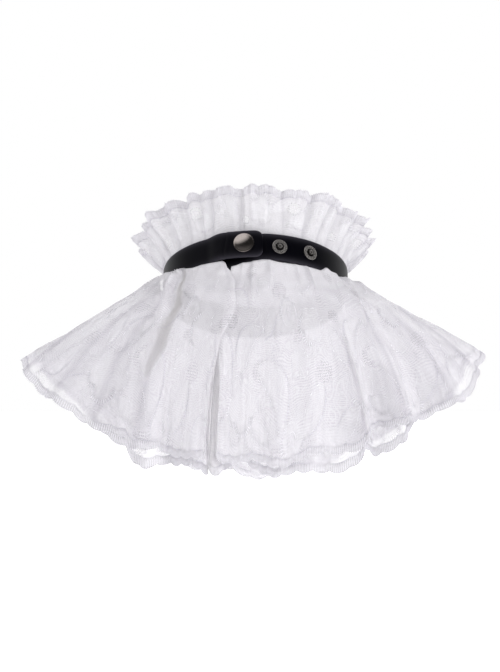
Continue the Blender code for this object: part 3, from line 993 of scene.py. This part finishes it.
FALL_FIGURES = (
    Figure(Shape.FLOWER, 24, 82, 15, 12, 5, (0.05, 0.42), (0.5, 0.8)),
    Figure(Shape.TEARDROP, 62, 78, 21, 62, 5, (0.1, 0.4), (0.55, 0.95)),
    Figure(Shape.LEAF, 92, 88, 15, -58, 5, (), (0, 0.45)),
    Figure(Shape.LEAF, 44, 97, 12, 24, 5, (0, 0.5), ()),
    Figure(Shape.FLOWER, 84, 64, 8, 0, 5),
    Figure(Shape.LEAF, 4, 98, 11, 130, 5, (), (0.1, 0.5)),
    Figure(Shape.SCROLL, 74, 100, 9, 15, 5, (0.2, 0.9), ()),
    Figure(Shape.FLOWER, 104, 104, 7, 20, 5),
    Figure(Shape.LEAF, 24, 106, 7, -12),
    Figure(Shape.TEARDROP, 30, 50, 17, -38, 5, (0.1, 0.45), (0.6, 0.9)),
    Figure(Shape.LEAF, 8, 58, 12, 75, 5, (), (0.5, 0.95)),
    Figure(Shape.FLOWER, 98, 44, 11, 0, 6, (0.3, 0.6), ()),
    Figure(Shape.LEAF, 56, 42, 10, -60, 5, (), (0, 0.4)),
    Figure(Shape.SCROLL, 76, 36, 9, 140, 5, (0.3, 0.8), ()),
    Figure(Shape.LEAF, 20, 26, 11, 30, 5, (), (0.5, 1)),
    Figure(Shape.FLOWER, 46, 20, 7, 10, 5),
    Figure(Shape.LEAF, 96, 18, 10, -20, 5, (0.05, 0.45), ()),
    Figure(Shape.NET, 44, 68, 8),
    Figure(Shape.NET, 102, 70, 7),
    Figure(Shape.NET, 12, 40, 5.5),
    Figure(Shape.NET, 60, 106, 5),
    Figure(Shape.NET, 66, 22, 8),
    Figure(Shape.NET, 30, 8, 7),
    Figure(Shape.NET, 84, 50, 4),
    Figure(Shape.WINDOWS, 86, 108, 3.6, 10),
)

STAND_FIGURES = (
    Figure(Shape.FLOWER, 16, 23, 9, 10, 5, (0.05, 0.4), (0.5, 0.8)),
    Figure(Shape.LEAF, 33, 28, 9, 30, 5, (), (0, 0.45)),
    Figure(Shape.TEARDROP, 54, 22, 12, 50, 5, (0.1, 0.4), (0.6, 0.95)),
    Figure(Shape.LEAF, 76, 26, 9, 110, 5, (0.5, 0.95), ()),
    Figure(Shape.NET, 44, 26, 5.5),
    Figure(Shape.SCROLL, 66, 27, 5, 40, 5, (), (0.2, 0.8)),
    Figure(Shape.NET, 3, 17, 4),
)


@dataclass
class StandingRuffle:
    """Ruffle that stands up round the neck, open at the nape.

    Attributes:
        length: Cut length in millimetres.
        width: Cut width in millimetres.
        folds: Rows of angle at the foot, angle at the top, depth in mm, half width in degrees.
    """

    length: float = 510.0
    width: float = 38.5
    columns: int = 620
    rows: int = 28
    start: float = -8.4
    end: float = 352.8
    end_lift: float = 1.0
    end_lift_angle: float = 5.0
    foot_radius: float = 55.35
    foot: float = 3.0
    mouth: float = 10.0
    mouth_share: float = 0.2
    top: float = 36.2
    side_bulge: float = 6.5
    side_bulge_angle: float = 112.0
    side_bulge_width: float = 13.0
    flare_nape: float = 10.0
    flare_side: float = 20.0
    foot_depth: float = 0.08
    thickness: float = 0.45 * MM
    folds: tuple = (
        (-174, -172, 6.5, 3.2), (-161, -159, 5, 2.4), (-144, -147, 7, 3.8), (-129, -128, 5, 2.6),
        (-114, -116, 7, 3.8), (-99, -103, 6, 2.6), (-86, -85, 7.5, 3.6), (-70, -74, 5, 2.4), (-57, -57, 6, 3.6),
        (-45, -42, 5.5, 2.4), (-34.3, -31, 3.2, 1.4), (-28.5, -24, 3.4, 1.7), (-9.6, -8.4, 2.4, 1.6),
        (18.3, 15, 3.8, 1.7), (30.7, 32.5, 4.6, 2.2), (41, 45, 2.8, 1.5), (50, 55, 6.4, 3.2), (66, 66, 5, 2.4),
        (77, 80, 7, 3.6), (91, 90, 5, 2.4), (103, 104, 7.5, 3.8), (116, 116, 6.5, 3.6), (131, 131, 6, 3.6),
        (146, 146, 6, 3.6), (161, 161, 6, 3.6), (174, 174, 6, 3.2),
    )

    def form(self, angle: np.ndarray, share: np.ndarray) -> np.ndarray:
        """Points of the ruffle at angles and shares of its height, in metres."""
        above = np.maximum(0.0, (share - self.mouth_share) / (1.0 - self.mouth_share))
        below = np.minimum(1.0, share / self.mouth_share)
        height = self.foot + below * (self.mouth - self.foot) + above * (self.top - self.mouth)
        sideways = np.sin(np.radians(angle)) ** 2
        flare = self.flare_nape + sideways * (self.flare_side - self.flare_nape)
        for side in (-1.0, 1.0):
            bulge = trough(angle, side * self.side_bulge_angle, self.side_bulge_width)
            flare = flare + self.side_bulge * bulge * (1.0 + 1.6 * (1.0 - above))
        depth = np.zeros_like(above)
        for foot, top, fold_depth, half_width in self.folds:
            depth += fold_depth * trough(angle, foot + above * (top - foot), half_width)
        depth += ripple(angle, ((37.0, 0.9, 0.30), (61.0, 0.4, 0.35), (97.0, 1.9, 0.25), (139.0, 4.1, 0.16)))
        swing = self.foot_depth + (1.0 - self.foot_depth) * above ** 0.8
        swing = swing * smooth_step(0.0, 0.4, share)
        radius = self.foot_radius + flare * above ** 1.2 - depth * swing
        radius = radius + self.end_lift * smooth_step(self.end - self.end_lift_angle, self.end, angle) * below
        height = height + above ** 2 * ripple(angle, ((19.0, 0.7, 0.5), (33.0, 2.2, 0.35)))
        return RING.point(angle, radius * MM, height * MM)

    def valley(self, across: np.ndarray, share: np.ndarray) -> np.ndarray:
        """Share, from 0 to 1, of how deep in a fold each point lies, which sets the painted fold shade."""
        angle = self.start + across * (self.end - self.start)
        deep = np.zeros_like(angle)
        for foot, top, _, half_width in self.folds:
            deep = np.maximum(deep, trough(angle, foot + share * (top - foot), 0.45 * half_width))
        return deep * smooth_step(1.25, 0.5, share)

    def build(self, wardrobe: Wardrobe) -> None:
        """Make the ruffle, its cords and its border."""
        design = LaceDesign(STAND_FIGURES, 85.0, self.width, 14.0, 1.9, border=4.6, lowest=8.0)
        across, along = share_grid(self.columns, self.rows)
        u = across * self.length
        share = along + along ** 6 * design.edge(u) / self.width
        cloth = ClothGrid(self.form(self.start + across * (self.end - self.start), share), self.length, self.width)
        cloth.normals = cloth.normals * -1.0
        plans = design.plans(u, along * self.width)
        # Mask of the painted shade in the folds.
        plans["valley"] = self.valley(across, share)
        lace = place_piece("standing_ruffle_lace", cloth.mesh(
            "standing_ruffle_lace", self.thickness, plans, plans["figure"] * 0.2 * MM), wardrobe.ruffle)
        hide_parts("standing_ruffle")
        design.trim("standing_ruffle", cloth, wardrobe)


class Tier(Enum):
    """The two tiers of the falling ruffle."""

    UPPER = "upper"
    UNDER = "under"


@dataclass(frozen=True)
class Pocket:
    """Narrow deep fold with painted shade inside.

    Attributes:
        course: Rows of share of the width and thread line that it follows.
        start: Share of the width where it opens.
        end: Share of the width where it closes.
        half_width: Degrees at its widest.
        skew: Above 1 puts its widest place nearer its end.
        depth: Millimetres.
        dark: How dark its painted shade is, from 0 to 1.
    """

    course: tuple
    start: float
    end: float
    half_width: float
    skew: float
    depth: float
    dark: float

    def inside(self, line: np.ndarray, share: np.ndarray) -> np.ndarray:
        """Share, from 0 to 1, of how far places lie inside the pocket."""
        place = np.clip((share - self.start) / (self.end - self.start), 0.0, 1.0)
        reach = np.sin(math.pi * place ** self.skew)
        half_width = 0.3 + self.half_width * reach
        away = np.abs(line - read_table(self.course, share)) / half_width
        return np.exp(-away ** 4) * smooth_step(0.0, 0.35, reach) * (1.0 - 0.5 * place)


@dataclass
class FallingTier:
    """One tier of the falling ruffle, open at the nape.

    Attributes:
        tier: Which tier it is.
        folds: Rows of angle at the neck, angle at the hem, depth in mm, half width in degrees at the neck,
            share of the length where the fold begins.
        heading: Rows of angle and height of the heading edge in mm.
        nape_edges: Rows of share, thread line of the left end's edge, thread line of the right end's edge.
    """

    tier: Tier
    length: float = 905.0
    width: float = 110.0
    columns: int = 760
    rows: int = 56
    heading_radius: float = 60.1
    hem_half_width: float = 137.8
    hem_back_depth: float = 103.0
    hem_front_depth: float = 112.0
    hem_side_height: float = -55.2
    hem_back_drop: float = 56.0
    hem_front_drop: float = 74.0
    hem_curve: float = 1.6
    crest_share: float = 0.38
    crest_side: float = 6.5
    crest_back: float = 13.0
    gathers: int = 46
    gather_sway: tuple = ((5.0, 0.4, 0.9), (11.0, 1.9, 0.8), (3.0, 4.1, 0.7))
    gather_depth: float = 3.2
    gather_reach: float = 0.34
    crinkle: tuple = ((131.0, 0.4, 0.12), (173.0, 1.9, 0.10))
    pockets: tuple = (
        Pocket(((0.0, -46.5), (0.16, -48.5), (0.34, -46.0), (0.52, -44.0), (0.78, -45.5)),
               -0.02, 0.75, 2.1, 1.05, 4.5, 1.0),
        Pocket(((0.0, 36.4), (1.0, 37.0)), 0.45, 1.02, 0.5, 1.0, 1.5, 0.25),
    )
    under_pockets: tuple = (Pocket(((0.0, -14.6), (1.0, -14.8)), 0.4, 1.3, 2.6, 1.0, 2.0, 0.5),)
    hem_rise: tuple = (
        (-180, 4), (-130, 6), (-104, 5.5), (-90, -1.5), (-78, 0.5), (-70, 1), (-61, 2), (-50, 4.5), (-45, 0.5),
        (-38, 5), (-26, 3.5), (-17, 5), (0, 5), (12, 3.5), (24, 5.5), (33, 4.5), (42, 9.5), (54, 7.5), (66, 2.5),
        (76, 0.5), (84, 3.5), (90, 3.5), (104, 6.5), (130, 6), (180, 4),
    )
    under_hem_rise: tuple = (
        (-180, 4), (-130, 7), (-104, 8), (-90, 5.5), (-72, 8.5), (-62, 7), (-52, 2.5), (-45, -3.5), (-36, 3),
        (-14, 2), (-8, 6), (-4, 7.5), (3, 4), (14, 2), (24, 1), (33, 0), (40, 4), (46, 0.5), (54, 1.5), (64, 5),
        (74, 6), (90, 9), (104, 9), (130, 7), (180, 4),
    )
    fold_growth: float = 1.15
    line_spread: float = 0.7
    end_lift: float = 3.4
    end_lift_angle: float = 15.0
    end_lift_fade: float = 0.7
    under_foot_radius: float = 55.0
    under_foot_height: float = -10.4
    under_foot_nape_drop: float = 6.4
    under_inset: float = 5.0
    under_extra: float = 4.0
    thickness: float = 0.45 * MM
    folds: tuple = (
        (-170, -170, 15, 4.8, 0), (-150, -151, 15, 4.8, 0), (-130, -131, 15, 4.8, 0), (-112, -112, 15, 4.6, 0),
        (-96, -94, 14, 4.4, 0), (-82, -75, 14, 4.2, 0), (-68, -56, 15, 4, 0), (-57, -41, 14, 3.8, 0),
        (-45, -27.5, 20, 3.8, 0), (-16, -11.2, 11, 3.4, 0.3), (11, 4.5, 4, 2.6, 0), (22, 13, 4, 3, 0.2),
        (36, 26, 14, 3.6, 0.3), (54, 37, 16, 3.8, 0), (70, 53, 17, 4, 0), (82, 70, 14, 4.2, 0), (96, 90, 14, 4.4, 0),
        (112, 110, 15, 4.6, 0), (130, 131, 15, 4.8, 0), (150, 151, 15, 4.8, 0), (170, 170, 15, 4.8, 0),
    )
    heading: tuple = (
        (-180, -9.8), (-110, -4), (-90, 1.5), (-71, -0.9), (-54, -5.5), (-38, -9.3), (-20, -9.5), (-14, -14),
        (-6, -12), (5, -10), (16, -11.2), (40, -10.6), (46, -7), (53, -9.6), (73, -3), (90, 1.5), (110, -4),
        (180, -9.8),
    )
    nape_edges: tuple = (
        (0, -17.5, -14), (0.05, -13, -14), (0.12, -10, -14), (0.28, -8.5, -14.6), (0.5, -13.8, -14.2),
        (0.7, -16, -12.8), (1, -17, -13),
    )
    under_ends: tuple = (-16.2, -16.6)

    @property
    def tier_pockets(self) -> tuple:
        """Pockets of this tier."""
        return self.pockets if self.tier is Tier.UPPER else self.under_pockets

    @property
    def start_line(self) -> float:
        """Thread line of the right end's edge at the hem."""
        return self.nape_edges[-1][2] if self.tier is Tier.UPPER else self.under_ends[0]

    @property
    def end_line(self) -> float:
        """Thread line of the left end's edge at the hem."""
        return 360.0 + (self.nape_edges[-1][1] if self.tier is Tier.UPPER else self.under_ends[1])

    def hem(self, angle: np.ndarray) -> np.ndarray:
        """Plain oval of the hem in millimetres, high at the sides."""
        turn = np.radians(angle)
        behind = np.cos(turn) > 0.0
        depth = np.where(behind, self.hem_back_depth, self.hem_front_depth)
        drop = np.where(behind, self.hem_back_drop, self.hem_front_drop)
        height = self.hem_side_height - drop * np.abs(np.cos(turn)) ** self.hem_curve
        return np.stack([self.hem_half_width * np.sin(turn), -depth * np.cos(turn), height], axis=-1)

    def plain(self, angle: np.ndarray, share: np.ndarray) -> np.ndarray:
        """Points of the tier before its folds, in millimetres."""
        hem = self.hem(angle)
        if self.tier is Tier.UNDER:
            nape = smooth_step(-30.0, -22.0, angle) * smooth_step(10.0, 3.0, angle)
            start = RING.point(angle, self.under_foot_radius,
                               self.under_foot_height - nape * self.under_foot_nape_drop)
            inward = unit(hem * (-1.0, -1.0, 0.0))
            hem = hem + inward * self.under_inset - np.array([0.0, 0.0, self.under_extra])
        else:
            start = RING.point(angle, self.heading_radius, read_table(self.heading, angle))
        turn = np.radians(angle)
        sideways = np.stack([np.cos(turn), np.sin(turn), np.zeros_like(turn)], axis=-1)
        chord = hem - start
        outward = -unit(np.cross(sideways, chord))
        crest = self.crest_side + self.crest_back * np.cos(turn) ** 2
        middle = start + chord * self.crest_share + outward * crest[..., None]
        share = share[..., None]
        first = start + (middle - start) * share
        return first + (middle + (hem - middle) * share - first) * share

    def fold_depth(self, line: np.ndarray, share: np.ndarray) -> np.ndarray:
        """Depth of all folds in millimetres, growing from the neck to the hem."""
        depth = np.zeros_like(line)
        for neck, _, full_depth, half_width, begin in self.folds:
            growth = np.sqrt(smooth_step(begin, 1.0, share)) * share ** self.fold_growth
            depth += full_depth * growth * trough(line, neck, half_width)
        return depth

    def valley(self, line: np.ndarray, share: np.ndarray) -> np.ndarray:
        """Share, from 0 to 1, of how deep in a fold each point lies, which sets the painted fold shade."""
        line = turn_between(line, 0.0)
        deep = np.zeros_like(line)
        for neck, _, full_depth, half_width, begin in self.folds:
            side = 0.6 * trough(line, neck, 0.2 * half_width) + 0.4 * trough(line, neck, 0.7 * half_width)
            deep = np.maximum(deep, side * np.sqrt(smooth_step(begin, 1.0, share)) * min(1.0, full_depth / 14.0))
        return np.maximum(0.9 * deep, 0.5 * self.pinch(line, share))

    def pinch(self, line: np.ndarray, share: np.ndarray) -> np.ndarray:
        """Sharp valleys of the uneven gathers, from 0 to 1, that fade below the strap."""
        phase = np.radians(0.5 * self.gathers * line) + ripple(line, self.gather_sway)
        uneven = 0.65 + 0.35 * np.sin(np.radians(13.0 * line) + 1.0)
        sharp = (1.0 - np.abs(np.sin(phase))) ** 2
        return sharp * uneven * (0.02 + 0.98 * smooth_step(self.gather_reach * uneven, 0.0, share))

    def pocket_shade(self, line: np.ndarray, share: np.ndarray) -> np.ndarray:
        """Painted shade of the tier's pockets, from 0 to 1."""
        dark = np.zeros_like(line)
        for pocket in self.tier_pockets:
            dark = np.maximum(dark, pocket.dark * pocket.inside(turn_between(line, 0.0), share))
        return dark

    def form(self, line: np.ndarray, share: np.ndarray) -> np.ndarray:
        """Points of the tier on its thread lines, in metres."""
        line = turn_between(line, 0.0)
        necks = [-180.0] + [row[0] for row in self.folds] + [180.0]
        hems = [-180.0] + [row[1] for row in self.folds] + [180.0]
        angle = line + share ** self.line_spread * (np.interp(line, necks, hems) - line)
        point = self.plain(angle, share)
        down = self.plain(angle, share + 0.02) - self.plain(angle, np.maximum(0.0, share - 0.02))
        along = self.plain(np.minimum(180.0, angle + 0.4), share) - self.plain(np.maximum(-180.0, angle - 0.4), share)
        normal = unit(np.cross(along, down))
        out = -self.fold_depth(line, share)
        out = out - self.gather_depth * self.pinch(line, share) * smooth_step(-0.02, 0.07, share)
        out = out + ripple(line, self.crinkle) * smooth_step(0.35, 0.7, share)
        for pocket in self.tier_pockets:
            out = out - pocket.depth * pocket.inside(line, share)
        slow = ripple(line, ((7.0, 0.9, 0.8), (17.0, 3.0, 0.7), (29.0, 5.1, 0.5)))
        out = out + slow * np.sin(math.pi * np.clip(share, 0.0, 1.0)) ** 2
        return (point + normal * out[..., None]) * MM

    def placed(self, across: np.ndarray, share: np.ndarray) -> np.ndarray:
        """Points at shares along and across the strip, with the left end lifted over the right end."""
        if self.tier is Tier.UNDER:
            return self.form(self.start_line + across * (self.end_line - self.start_line), share)
        start = read_table(self.nape_edges, share, 2)
        end = read_table(self.nape_edges, share, 1) + 360.0
        line = start + across * (end - start)
        spread = smooth_step(0.0, 0.15, share) * (1.0 - self.end_lift_fade * share)
        lift = self.end_lift * MM * smooth_step(end - self.end_lift_angle, end, line) * spread
        point = self.form(line, share)
        return point + unit(point * (1.0, 1.0, 0.0)) * lift[..., None]

    def build(self, wardrobe: Wardrobe) -> None:
        """Make the tier, its cords and its border."""
        design = LaceDesign(FALL_FIGURES, 111.0, self.width)
        if self.tier is Tier.UNDER:
            design.lowest = 60.0
        across, along = share_grid(self.columns, self.rows)
        u = across * self.length
        line = self.start_line + across * (self.end_line - self.start_line)
        table = self.hem_rise if self.tier is Tier.UPPER else self.under_hem_rise
        rise = read_table(table, turn_between(line, 0.0))
        share = along + along ** 12 * design.edge(u) / self.width - along ** 4 * rise / self.width
        cloth = ClothGrid(self.placed(across, share), self.length, self.width)
        plans = design.plans(u, along * self.width)
        # Masks of the painted shade in the folds and in the pockets.
        plans["valley"] = self.valley(line, share)
        plans["pocket_shade"] = self.pocket_shade(line, share)
        name = f"fall_{self.tier.value}_lace"
        lace = place_piece(name, cloth.mesh(name, self.thickness, plans, plans["figure"] * 0.25 * MM),
                           wardrobe.lace)
        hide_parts(f"fall_{self.tier.value}_tier")
        design.trim(f"fall_{self.tier.value}", cloth, wardrobe)


@dataclass
class NeckStrap:
    """Smooth strap in one length: the under end, the way round and the tab over its own start."""

    radius: float = 57.2
    thickness: float = 1.5
    half_width: float = 8.75
    under_end: float = -19.0
    rise_start: float = 328.0
    rise_end: float = 341.0
    tab_end: float = 363.9
    tab_lift: float = 3.95
    tab_corner: float = 4.5
    tab_end_share: float = 0.58
    end_droop: float = 6.5
    droop_start: float = 6.0
    crease_angle: float = 342.6
    crease_depth: float = 0.35
    ridge_height: float = 0.28
    fold_angle: float = 5.6
    fold_depth: float = 0.25
    columns: int = 520
    rows: int = 10

    def build(self, wardrobe: Wardrobe) -> None:
        """Make the strap with its creases and rounded edges."""
        across, along = share_grid(self.columns, self.rows)
        angle = self.under_end + across * (self.tab_end - self.under_end)
        height = 1.0 - 2.0 * along
        lift = self.tab_lift * smooth_step(self.rise_start, self.rise_end, angle)
        wiggle = self.crease_angle + 0.35 * np.sin(3.0 * height) + 0.5 * height
        lift = lift - self.crease_depth * dip(angle - wiggle, 0.32) * smooth_step(-1.0, -0.75, height)
        lift = lift + self.ridge_height * dip(angle - wiggle - 1.1, 0.6)
        lift = lift - self.fold_depth * dip(angle - self.fold_angle + 1.6 * height, 0.5)
        lift = lift + 0.12 * ripple(angle, ((5.0, 0.3, 0.6), (11.0, 1.4, 0.4)))
        to_end = np.clip((self.tab_end - angle) / self.tab_corner, 0.0, 1.0)
        rounding = np.sqrt(1.0 - (1.0 - to_end) ** 2)
        half = self.half_width * (self.tab_end_share + (1.0 - self.tab_end_share) * rounding)
        droop = self.end_droop * smooth_step(self.droop_start, self.under_end, angle)
        points = RING.point(angle, (self.radius + lift) * MM, (height * half - droop) * MM)
        length = math.radians(self.tab_end - self.under_end) * self.radius
        cloth = ClothGrid(points, length, 2.0 * self.half_width)
        # rim marks the strap's edges, where the painted highlight goes.
        mesh = cloth.mesh("neck_strap_leathercloth", self.thickness * MM, {"rim": np.abs(height)})
        strap = place_piece("neck_strap_leathercloth", mesh, wardrobe.strap)
        round_off = strap.modifiers.new("rounded edges", "BEVEL")
        round_off.width = 0.35 * MM
        round_off.segments = 2
        round_off.limit_method = "ANGLE"
        round_off.angle_limit = math.radians(50.0)
        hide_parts("neck_strap")


@dataclass
class BaseTape:
    """Woven band inside the strap that carries the ruffles."""

    radius: float = 53.4
    thickness: float = 1.2
    low: float = -11.6
    high: float = 9.4
    start: float = -8.0
    end: float = 351.4
    columns: int = 360
    rows: int = 6

    def build(self, wardrobe: Wardrobe) -> None:
        """Make the band."""
        across, along = share_grid(self.columns, self.rows)
        angle = self.start + across * (self.end - self.start)
        height = self.high + along * (self.low - self.high)
        radius = self.radius + ripple(angle, ((23.0, 0.5, 0.06), (41.0, 1.5, 0.05)))
        length = math.radians(self.end - self.start) * self.radius
        cloth = ClothGrid(RING.point(angle, radius * MM, height * MM), length, self.high - self.low)
        tape = place_piece("base_tape", cloth.mesh("base_tape", self.thickness * MM, {}), wardrobe.tape)
        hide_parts("base_band")


@dataclass
class SnapFasteners:
    """Domed cap, socket and studs, turned from profiles in millimetres."""

    height: float = 0.3
    steps: int = 48
    stud_seat: float = 58.25
    cap_seat: float = 62.2
    socket_seat: float = 59.15
    closed: float = -6.6
    groove_radius: float = 2.0
    groove_width: float = 0.75
    studs: tuple = (("closed", -6.6), ("middle", 14.4), ("outer", 34.6))
    cap_profile: tuple = (
        (0, 2.40), (1.6, 2.32), (3.1, 2.05), (4.4, 1.60), (5.3, 1.08), (5.75, 0.78), (6, 0.74), (6.17, 0.55),
        (6.2, 0.32), (6.1, 0.08), (5.9, 0), (0, 0),
    )
    stud_profile: tuple = (
        (0, 0.25), (0.8, 0.28), (0.9, 1.15), (1.1, 1.46), (1.4, 1.5), (1.7, 1.38), (1.85, 1.05), (1.65, 0.5),
        (1.75, 0.06), (2.3, 0.04), (2.5, 0.40), (2.9, 0.66), (3.5, 0.62), (3.8, 0.56), (4.15, 0.66), (4.5, 0.52),
        (4.7, 0.2), (4.6, 0), (0, 0),
    )
    socket_profile: tuple = (
        (2.6, 0.55), (2.75, 0.7), (4.5, 0.7), (4.7, 0.5), (4.7, 0.15), (4.55, 0), (2.75, 0), (2.6, 0.15), (2.6, 0.55),
    )

    def turned(self, name: str, profile: tuple, angle: float, seat: float,
               metal: bpy.types.Material) -> bpy.types.Object:
        """Spin a profile about its axis and set it on the ring.

        Args:
            name: Piece name.
            profile: Rows of distance from the axis and distance out of the seat.
            angle: Degrees round the neck.
            seat: Radius of the seat.
            metal: Finish.

        Returns:
            The turned piece.
        """
        shape = bmesh.new()
        corners = [shape.verts.new((across * MM, 0.0, out * MM)) for across, out in profile]
        edges = [shape.edges.new(pair) for pair in zip(corners, corners[1:])]
        bmesh.ops.spin(shape, geom=corners + edges, cent=(0.0, 0.0, 0.0), axis=(0.0, 0.0, 1.0),
                       angle=2.0 * math.pi, steps=self.steps, use_merge=True, use_duplicate=False)
        bmesh.ops.remove_doubles(shape, verts=shape.verts, dist=1e-6)
        bmesh.ops.dissolve_degenerate(shape, dist=1e-7, edges=shape.edges)
        bmesh.ops.recalc_face_normals(shape, faces=shape.faces)
        if profile is self.stud_profile:
            self.mark_groove(shape)
        bmesh.ops.transform(shape, matrix=RING.seat(angle, seat * MM, self.height * MM), verts=shape.verts)
        mesh = close_shape(shape, name)
        mesh.shade_smooth()
        mesh.set_sharp_from_angle(angle=math.radians(60.0))
        return place_piece(name, mesh, metal)

    def mark_groove(self, shape: bmesh.types.BMesh) -> None:
        """Write how far each corner lies in a stud's groove, from 0 to 1, where painted shade and soil darken it."""
        groove = shape.verts.layers.float.new("groove")
        for corner in shape.verts:
            apart = abs(corner.co.xy.length / MM - self.groove_radius)
            corner[groove] = min(1.0, 2.0 * max(0.0, 1.0 - apart / self.groove_width))

    def build(self, wardrobe: Wardrobe) -> None:
        """Make every snap piece."""
        cap = self.turned("snap_cap_dome", self.cap_profile, self.closed, self.cap_seat, wardrobe.nickel)
        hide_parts("snap_cap")
        socket = self.turned("snap_socket_ring", self.socket_profile, self.closed, self.socket_seat, wardrobe.nickel)
        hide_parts("snap_socket")
        for word, angle in self.studs:
            stud = self.turned(f"snap_post_{word}", self.stud_profile, angle, self.stud_seat, wardrobe.stamped)
            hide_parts(f"snap_stud_{word}")


@dataclass
class Studio:
    """Pale floor, soft lights and the camera at the photograph's angle."""

    floor_height: float = -0.30
    eye: tuple = (-0.0034, -1.3, -0.031)
    lens: float = 111.0

    def build(self) -> None:
        """Make the floor, world, lights and camera."""
        self.add_floor()
        self.add_world()
        self.add_light("key", (1.1, -0.7, 0.7), 0.6, 12.5)
        self.add_light("fill", (-1.2, -0.9, 0.1), 0.9, 6.2)
        self.add_light("top", (-0.45, -0.15, 1.25), 0.8, 5.0)
        camera = bpy.data.objects.new("camera", bpy.data.cameras.new("camera"))
        bpy.context.scene.collection.objects.link(camera)
        camera.location = self.eye
        camera.rotation_euler = (math.pi / 2.0, 0.0, 0.0)
        camera.data.lens = self.lens
        camera.data.clip_start = 0.05
        bpy.context.scene.camera = camera
        bpy.context.scene.view_settings.view_transform = "Standard"
        bpy.context.scene.view_settings.look = "None"

    def add_floor(self) -> None:
        """Pale floor that stays close to white."""
        shape = bmesh.new()
        bmesh.ops.create_grid(shape, x_segments=1, y_segments=1, size=6.0)
        bmesh.ops.translate(shape, vec=(0.0, 0.0, self.floor_height), verts=shape.verts)
        mesh = close_shape(shape, "floor")
        mesh.materials.append(FloorFinish().build())
        floor = bpy.data.objects.new("floor", mesh)
        floor.visible_glossy = False
        bpy.context.scene.collection.objects.link(floor)

    def add_world(self) -> None:
        """White surroundings that are dimmer on the camera's side, so that metal and strap stay dark."""
        sketch = NodeSketch("studio", world=True)
        bpy.context.scene.world = sketch.owner
        across, deep, high = sketch.add("SeparateXYZ", in0=sketch.add("TexCoord").outputs["Generated"]).outputs
        path = sketch.add("LightPath").outputs
        shared = sketch.ramp(deep, (-0.9, 0.3), (0.30, 0.60))
        behind = sketch.ramp(deep, (0.1, 0.7), (0.015, 1.1))
        above = sketch.ramp(sketch.sum(sketch.times(across, -0.45), high), (0.74, 1.0), (0.02, 0.95))
        front = sketch.ramp(high, (0.45, -0.1), (0.02, 0.13))
        below = sketch.ramp(high, (-0.4, -0.62), (0.02, 0.9))
        mirror = behind
        for panel in (above, front, below):
            mirror = sketch.math("MAXIMUM", mirror, panel)
        shiny = sketch.add("Mix", Factor=path["Is Glossy Ray"], A=shared, B=mirror).outputs[0]
        seen = sketch.add("Mix", Factor=path["Is Camera Ray"], A=shiny, B=1.0).outputs[0]
        sketch.finish(sketch.add("Background", Color=(1.0, 1.0, 1.0, 1.0), Strength=seen).outputs[0])

    def add_light(self, name: str, place: tuple, size: float, power: float) -> None:
        """Square soft light that faces the collar.

        Args:
            name: Light name.
            place: Location in metres.
            size: Side in metres.
            power: Watts.
        """
        data = bpy.data.lights.new(name, "AREA")
        data.size = size
        data.energy = power
        light = bpy.data.objects.new(name, data)
        light.location = place
        light.rotation_euler = (-Vector(place)).to_track_quat("-Z", "Y").to_euler()
        light.visible_glossy = False
        bpy.context.scene.collection.objects.link(light)


def main() -> None:
    """Build the collar in order."""
    logging.basicConfig(level=logging.INFO)
    Studio().build()
    wardrobe = Wardrobe()
    BaseTape().build(wardrobe)
    NeckStrap().build(wardrobe)
    SnapFasteners().build(wardrobe)
    StandingRuffle().build(wardrobe)
    FallingTier(Tier.UNDER, 910.0, 107.0, gathers=62, gather_depth=5.0, gather_reach=0.8).build(wardrobe)
    FallingTier(Tier.UPPER).build(wardrobe)
    bpy.context.view_layer.update()


if __name__ == "__main__":
    main()
